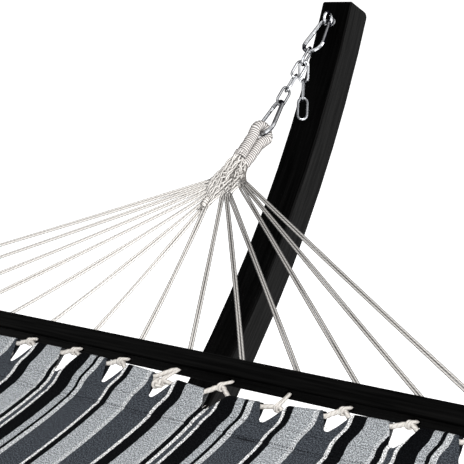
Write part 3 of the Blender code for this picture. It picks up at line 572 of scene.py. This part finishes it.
def add_fan(side, finish):
    """Plaited throat, then a doubled cord down to each hole of the bar."""
    down, across, normal = clew_axes()
    holes = [Vector((BAR_AT.x, hole_y(k), BAR_AT.z)) for k in range(1, HOLES + 1)]
    lean = ACROSS * CLEW_LEAN
    ends = [HOOK_FOOT + (down + lean) * 0.056 + across * 0.0165,
            HOOK_FOOT + (down + lean) * (CLEW_LENGTH - 0.008) - across * 0.0110]
    fan = Strands()

    exits = [FAN + (ACROSS * x - UP_CORDS * y) / 1000 for count, first, last in GROUPS
             for x, y in np.linspace(first, last, count)]

    def leaving(rank):
        low = min(int(rank), HOLES - 2)
        return exits[low].lerp(exits[low + 1], rank - low)

    def in_throat(rank, share):
        """On the way from the clew's ends to where the cord of this rank leaves."""
        rank = min(max(rank, 0.0), LAST)
        begin, goal = ends[0].lerp(ends[1], rank / LAST), leaving(rank)
        bend = begin.lerp(goal, 0.45).lerp(begin + down * (goal - begin).length * 0.5, 0.45)
        return begin.lerp(bend, share).lerp(bend.lerp(goal, share), share)

    for k, hole in enumerate(holes):
        gone = leaving(k)
        ray = (hole - gone).normalized()
        beside = ray.cross(BAR_TOP).normalized()
        slack = 0.0015 + 0.0045 * random.random()
        mouth = hole + UP_CORDS * MOUTH
        core = [in_throat(k + 0.4 * (1 - t), t) - BAR_TOP * 0.0034
                for t in (0, 0.25, 0.5, 0.75, 1)]
        fan.add([mirrored(p, side) for p in core], CORE, 8, 0.005)
        for which in (-1, 1):
            route = []
            # Through the throat: the pair starts apart, crosses its neighbours and meets.
            for step in range(17):
                share = step / 16
                rank = k + which * 3.6 * (1 - share) ** 1.2
                rank += 0.8 * which * math.sin(PLAITS * 2 * math.pi * share)
                rank = min(max(rank, 0.3 * k), LAST - 0.3 * (LAST - k))
                weave = 0.0026 * which * math.cos(PLAITS * 2 * math.pi * share + math.pi * k)
                weave *= math.sin(math.pi * min(1, share * 1.1)) ** 0.5 if share else 0
                round_end = (normal * math.cos(2.4 * k + 1.3 * which)
                             + across * (0.7 * math.sin(2.4 * k + 1.3 * which)))
                round_end *= 0.0066 * (1 - share) ** 1.6
                route.append(in_throat(rank, share * 0.97) + BAR_TOP * weave + round_end)
            # Then straight to the hole, with a little slack and the pair side by side.
            start = gone + ray * 0.008
            for share in (0.0, 0.12, 0.3, 0.5, 0.7, 0.88, 1.0):
                point = start.lerp(mouth, share)
                wide = CORD_APART * (1 + 0.16 * math.sin(9 * share + 1.7 * k + 2.1 * side))
                point = point + beside * (which * wide)
                point -= BAR_TOP * (4 * slack * share * (1 - share))
                point += BAR_TOP * (0.0006 * which * math.sin(7 * share + k))
                route.append(point)
            fan.add([mirrored(p, side) for p in route], CORD, 8, 0.005)
    # A tied-off end with loose threads sits where the seventh and eighth cords leave.
    at, tail = leaving(6.3), leaving(6.6)
    ray = (tail - in_throat(6.4, 0.75)).normalized()
    beside = ray.cross(BAR_TOP).normalized()
    at = at - ray * 0.015 + BAR_TOP * 0.005
    fan.add([mirrored(at + ray * t + beside * (0.0010 * math.sin(t * 300)), side)
             for t in (0, 0.005, 0.010, 0.016, 0.021)], None, 14, 0.0007,
            lambda s, a: 0.0052 + 0.0017 * np.abs(np.sin(math.pi * s / 0.0052)) + 0 * a)
    for n in range(9):
        tip = at + ray * (0.028 + 0.008 * random.random())
        tip += beside * random.uniform(-0.010, 0.010) - BAR_TOP * random.uniform(-0.002, 0.004)
        middle = (at + ray * 0.021).lerp(tip, 0.5) + BAR_TOP * random.uniform(-0.002, 0.002)
        fan.add([mirrored(p, side) for p in (at + ray * 0.018, middle, tip)], 0.0006, 5, 0.003)
    name = end_name(side)
    obj = fan.finish(f"doubled_cords_{name}", finish)
    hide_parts(f"fan_cords_{name}")
    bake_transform(obj)


# --- Hem -------------------------------------------------------------------------------
FAR_TURN = 15.3              # the far end's ranks count down from here


def hem_top(rank, side):
    """How far the folded edge is from the middle of the bar, in metres.

    The edge hangs back most near two of the holes. The far end is the near one turned
    round, and a little off.
    """
    if side < 0:
        rank = FAR_TURN - rank
    main = 19 * math.exp(-((rank - 10.2) / 1.6) ** 2)
    other = 9 * math.exp(-((rank - 3.6) / 1.5) ** 2)
    return 0.001 * (25 + main + other)


def notch_shift(hole):
    """The outermost notch moves in, to leave a strip of hem beside it."""
    return 0.020 if hole == 1 else 0.0


def seen_as(hole, side):
    """The far end is the near one turned round, so its holes count the other way."""
    return hole if side > 0 else HOLES + 1 - hole


# How far from the bar each notch reaches, in millimetres, and 73 for the others. Then the
# notch's outline in the outer and in the turned-in layer: (offset, share of the depth).
NOTCH_DEPTH = {7: 72, 8: 72, 9: 78, 10: 78, 11: 77, 12: 68, 13: 70}
NOTCH = [(-38, 0.0), (-35, 0.08), (-20, 0.82), (-17, 0.94), (-13, 1.0), (-9, 1.0),
         (-6, 0.93), (-2, 0.78), (3, 0.56), (9, 0.28), (14, 0.0)]
UNDER_NOTCH = [(-31, 0.0), (-29, 0.35), (-23, 0.91), (-19, 1.0), (-10, 1.0), (-6, 0.90),
               (-2, 0.75), (3, 0.52), (9, 0.26), (13, 0.0)]


def edge_of(y, side, outline):
    """The cut edge at this place across: the fold between notches, deeper within one."""
    rank = MIDDLE - y / PITCH
    fold = hem_top(rank, side)
    hole = min(max(round(rank), 1), HOLES)
    best = fold
    for k in (hole - 1, hole, hole + 1):
        if not 1 <= k <= HOLES:
            continue
        off = (hole_y(k) - y) * 1000 - notch_shift(k) * 1000
        depth = 0.001 * NOTCH_DEPTH.get(seen_as(k, side), 73) - fold
        share = float(np.interp(off, [o for o, _ in outline], [d for _, d in outline]))
        best = max(best, fold + depth * share)
    return fold, best


def cloth_point(y, s, side):
    """A point on the bed's middle surface and the way up from it.

    y is the way across the bed, and s the way along it from the middle of the bar.
    """
    end = BAR_AT - UP_CORDS * CLOTH_START
    if s <= CLOTH_START:
        point = BAR_AT - UP_CORDS * s
        return Vector((point.x * side, y, point.z)), mirrored(BAR_TOP, side)
    x = max(end.x - (s - CLOTH_START), 0.0)
    across = y / CLOTH_HALF
    slope = math.radians(6.0 + 7.0 * (1 - across * across))
    bow = math.tan(slope) * (end.x * end.x - x * x) / (2 * end.x)
    dip = END_DROP * END_REACH * (1 - math.exp(-(end.x - x) / END_REACH))
    fall = math.tan(slope) * x / end.x + END_DROP * math.exp(-(end.x - x) / END_REACH)
    half = CLOTH_HALF - CLOTH_WAIST * (1 - (x / end.x) ** 2)
    up = Vector((-fall, 0, 1)).normalized()
    return Vector((x * side, across * half, end.z - bow - dip)), mirrored(up, side)


def tunnel(s, fold):
    """Half the gap between the hem's two layers: round at the fold, closed at the seam."""
    past = max(s - fold, 0.0)
    tall, bend = 0.0050, 0.0060
    if past < bend:
        return tall * math.sqrt(past * (2 * bend - past)) / bend
    t = min(1.0, (past - bend) / max(STITCHES - fold - bend, 0.01))
    return 0.0011 + (tall - 0.0011) * (1 - t * t * (3 - 2 * t))


def crease(y, s, side):
    """Soft folds that run from the notches into the bed."""
    near = math.exp(-max(s - 0.10, 0) / 0.22)
    hem = max(0.0, 1 - abs(s - 0.070) / 0.045)
    lift = 0.0011 * hem * noise.noise(Vector((y * 45, s * 22, 3.0 * side)))
    lift += 0.0030 * near * min(1, s / 0.12) * noise.noise(Vector((y * 16, s * 4, 9 + side)))
    lift += 0.0060 * (1 - near) * noise.noise(Vector((y * 3.0, s * 1.4 * side, 5.0)))
    lift -= 0.0009 * math.exp(-((s - STITCHES - 0.003) / 0.004) ** 2)
    return lift


def stripe_sway(y, s, side):
    """The stripes swing aside a little where the hem swells over its rope."""
    inside = math.exp(-((s - 0.072) / 0.030) ** 2)
    return 0.0044 * inside * math.sin((s - 0.030) * 75 + 2.0 * math.sin(y * 9 + side))


WIDE_COLUMN, NOTCH_COLUMNS = 0.005, 26


def across_places():
    """Close together in the notches, wider apart between them.

    A notch goes 38 mm to one side of its hole and 14 mm to the other.
    """
    places = list(np.arange(-CLOTH_HALF, CLOTH_HALF + 1e-6, WIDE_COLUMN))
    places[-1] = CLOTH_HALF
    for k in range(1, HOLES + 1):
        middle = hole_y(k) - notch_shift(k)
        low, high = middle - 0.0155, middle + 0.0395
        places = [y for y in places if not low < y < high]
        places += [float(v) for v in np.linspace(low, high, NOTCH_COLUMNS)]
    return sorted(y for y in places if -CLOTH_HALF <= y <= CLOTH_HALF)


def add_cloth(finish):
    """The bed from end to end, with the turned-in layer of the hem as rows of its own."""
    across = across_places()
    fine = [0, 0.006, 0.016, 0.032, 0.055] + list(np.linspace(0.085, 1.0, 24))
    flap = [1.0, 0.9, 0.8, 0.7, 0.6, 0.5, 0.4, 0.3, 0.22, 0.15, 0.10, 0.06, 0.03, 0.01, 0]
    reach = CLOTH_START + (BAR_AT - UP_CORDS * CLOTH_START).x
    bed = list(np.linspace(HEM_END, 0.300, 26))[1:] + list(np.linspace(0.300, reach, 52))[1:]
    points, run = [], []
    rows_for = {}
    for side in (1, -1):
        rows = []
        edges = [edge_of(y, side, NOTCH) for y in across]
        under = [edge_of(y, side, UNDER_NOTCH) for y in across]
        for share in flap:
            row = []
            for y, (fold, cut) in zip(across, under):
                s = cut + (FLAP - cut) * share
                base, up = cloth_point(y, s, side)
                gap = tunnel(s, fold) if share else tunnel(cut, fold)
                row.append((base - up * (gap + 0.0010 * share), (y, s)))
            rows.append(row)
        for share in fine:
            row = []
            for y, (fold, cut) in zip(across, edges):
                s = cut + (HEM_END - cut) * share
                base, up = cloth_point(y, s, side)
                lift = tunnel(s, fold) * (1 if s < STITCHES + 0.001 else 0.2)
                lift += crease(y, s, side) * min(1.0, 6 * share)
                row.append((base + up * lift, (y + stripe_sway(y, s, side), s)))
            rows.append(row)
        for s in bed:
            row = []
            for y in across:
                base, up = cloth_point(y, s, side)
                row.append((base + up * crease(y, s, side), (y + stripe_sway(y, s, side), s)))
            rows.append(row)
        rows_for[side] = rows
    # Both halves meet on the middle line, so that row is kept once.
    rows = rows_for[1] + rows_for[-1][:-1][::-1]
    split = {len(flap) - 1, len(rows) - len(flap) - 1}
    width = len(across)
    for row in rows:
        points += [tuple(p) for p, _ in row]
        run += [r for _, r in row]
    faces, corners = [], []
    for i in range(len(rows) - 1):
        if i in split:
            continue
        for j in range(width - 1):
            a = i * width + j
            quad = (a, a + 1, a + 1 + width, a + width)
            faces.append(quad)
            corners += [run[q] for q in quad]
    cloth = mesh_object("striped_bed", np.array(points), faces, corners, finish)
    cloth.data.materials.append(striped_cloth("striped_cotton_inside_painted_shade", 0.82))
    under = (len(flap) - 1) * (width - 1)
    for polygon in cloth.data.polygons:
        if polygon.index < under or polygon.index >= len(faces) - under:
            polygon.material_index = 1
    work = bmesh.new()
    work.from_mesh(cloth.data)
    bmesh.ops.remove_doubles(work, verts=work.verts, dist=2e-5)
    bmesh.ops.recalc_face_normals(work, faces=work.faces)
    work.to_mesh(cloth.data)
    work.free()
    shell = cloth.modifiers.new("thickness", "SOLIDIFY")
    shell.thickness = CLOTH_THICK
    shell.offset = 0
    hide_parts("cloth_bed")
    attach(cloth, "bed")
    return cloth


# Where the hem rope leaves the far hem, crosses the cord and enters the near hem:
# (offset, distance from the bar), in millimetres, for each hole seen close up.
TIES = {8: [(-31, 34), (-8, 25), (11, 39)], 9: [(-31, 45), (-10, 44), (9, 46)],
        10: [(-31, 43), (-10, 31), (13, 47)], 11: [(-32, 49), (-2, 45), (9, 50)],
        12: [(-31, 41), (-6, 26), (12, 38)], 13: [(-31, 33), (-5, 24), (12, 33)]}


KNOTTED = (9, 4)             # holes whose hem rope has a knot
LACE, THREAD = 0.0026, 0.00035   # radii
HEM_ROPE, HEM_LAY = 0.0041, 0.011


def laid_rope(along, angle):
    """Three strands wound together."""
    turn = 1.5 * angle - math.pi * along / HEM_LAY
    return HEM_ROPE * (0.84 + 0.16 * np.abs(np.cos(turn)))


def add_hem_rope(side, finish):
    """The rope inside the hem, caught in each notch by the cord from that hole."""
    rope, ties = Strands(), Strands()

    def place(hole, off, mm, lift=0.0):
        """Millimetres beside the hole, from the bar and above the cloth's middle."""
        y = hole_y(hole) - notch_shift(hole) - off / 1000
        base, up = cloth_point(y, mm / 1000, side)
        return base + up * (lift / 1000)

    route = []
    for hole in range(1, HOLES + 1):
        seen = seen_as(hole, side)
        far = 1000 * hem_top(hole - 0.35, side) + 8
        near = 1000 * hem_top(hole + 0.15, side) + 8
        leave, cross, enter = TIES.get(seen, [(-31, far), (-7, 0.45 * far + 10), (12, near)])
        if hole == 1:
            route.append(place(hole, -27, far))
        route += [place(hole, -44 if hole > 1 else -25, far), place(hole, leave[0], leave[1]),
                  place(hole, (leave[0] + cross[0]) / 2, 0.45 * leave[1] + 0.55 * cross[1], 1.5),
                  place(hole, cross[0], cross[1], 1.0),
                  place(hole, (enter[0] + cross[0]) / 2, 0.5 * (enter[1] + cross[1]), 0.5),
                  place(hole, enter[0], enter[1])]
        if hole < HOLES:
            route += [place(hole, 24, 1000 * hem_top(hole + 0.23, side) + 8),
                      place(hole, 44, 1000 * hem_top(hole + 0.42, side) + 8)]
        shift = 1000 * notch_shift(hole)
        aside, away = cross
        # The cord from the bar's hole, doubled, goes over the hem rope and back under it.
        for which in (-1, 1):
            lace = [(which * 1.4 - shift, 8, which), (which * 1.5 - shift, 17, which),
                    (0.55 * aside + which * 2.0 - 0.45 * shift, 0.45 * away + 9, 2.2 + which),
                    (aside - 1.5 + which * 2.2, away - 1.5, 4.9),
                    (aside - 4.0 + which * 1.6, away + 3.6, 2.5),
                    (aside - 3.2 + which * 1.4, away + 3.8, -3.2),
                    (aside + 1.5 + which, away - 4, -3.5)]
            ties.add([place(hole, *spot) for spot in lace], LACE, 8, 0.002)
        if seen in KNOTTED:
            spare = [(2 - shift, 15, 1), (-9, 25, 4), (-22, 35, 4), (-34, 41, 2)]
            ties.add([place(hole, *spot) for spot in spare], 0.0031, 9, 0.002, laid_rope)
            # The knot is a trefoil.
            ball = []
            for i in range(30):
                t = 2 * math.pi * i / 30
                ball.append(place(hole, -16 + 2.6 * (math.sin(t) + 2 * math.sin(2 * t)),
                                  53 + 2.6 * (math.cos(t) - 2 * math.cos(2 * t)),
                                  4 - 3.0 * math.sin(3 * t)))
            ties.add(ball, 0.0028, 9, 0.002, closed=True)
            core = [(-12, 45, 4), (-15, 50, 5), (-17, 56, 4)]
            ties.add([place(hole, *spot) for spot in core], 0.0030, 9, 0.002)
        # Threads that have come loose from the notch's edge.
        for _ in range(5):
            off = random.uniform(-22, 8)
            cut = edge_of(hole_y(hole) - notch_shift(hole) - off / 1000, side, NOTCH)[1]
            mm = 1000 * cut
            thread = [(off, mm + 3, 1.8), (off + random.uniform(-2, 2), mm - 2, 2.5),
                      (off + random.uniform(-4, 4), mm - random.uniform(3, 8),
                       random.uniform(-2, 4))]
            ties.add([place(hole, *spot) for spot in thread], THREAD, 4, 0.003)
    rope.add(route, None, 12, 0.0022, laid_rope)
    name = end_name(side)
    obj = rope.finish(f"hem_line_{name}", finish)
    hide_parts(f"hem_rope_{name}")
    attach(obj, "bed")
    knots = ties.finish(f"hem_ties_{name}", finish)
    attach(knots, "bed")
    return obj, knots


# --- The CAD pieces that stay ----------------------------------------------------------
def dress_frame():
    """A finish for each piece of the frame that stays, by the start of its name."""
    arc, straight = timber("arc_timber", True), timber("bar_timber", False)
    zinc = steel("zinc_plate", (0.80, 0.81, 0.83), 0.20, 0.92)
    black = steel("black_coat", (0.020, 0.020, 0.021), 0.45, 0.0, 0.35)
    pads = rubber()
    rules = (("arc_", arc), ("cross_foot", straight), ("spreader_bar", straight),
             ("brace", straight), ("foot_pad", pads), ("splice_channel", black))
    for name, node in NODES.items():
        if node.hide_render:
            continue
        finish = next((made for start, made in rules if name.startswith(start)), zinc)
        node.data.materials.clear()
        node.data.materials.append(finish)
        for polygon in node.data.polygons:
            polygon.material_index = 0


def add_floor():
    size = 300.0             # far past the edges of any view
    floor = mesh_object("floor", np.array([(-size, -size, 0), (size, -size, 0),
                                           (size, size, 0), (-size, size, 0)], float),
                        [(0, 1, 2, 3)], [(0, 0), (1, 0), (1, 1), (0, 1)], floor_finish())


add_camera()
add_studio()
add_floor()
cord_finish = cotton("cotton_cord", (0.97, 0.95, 0.93), 0.009, 3, 0.0010, 0.70, 0.05,
                     packed=0.100, shade_start=0.17)
rope_finish = cotton("cotton_rope", (0.84, 0.815, 0.785), 0.0075, 3, 0.0007, 0.74, 0.45)
serving_finish = cotton("cotton_serving", (0.94, 0.91, 0.90), SERVING_TURN, 1, 0.0012,
                        0.07, 0.28, 1.7)
hem_lines = []
for end in (1, -1):
    add_clew(end, serving_finish)
    add_fan(end, cord_finish)
    hem_lines += add_hem_rope(end, rope_finish)
bed_cloth = add_cloth(striped_cloth())
dress_frame()
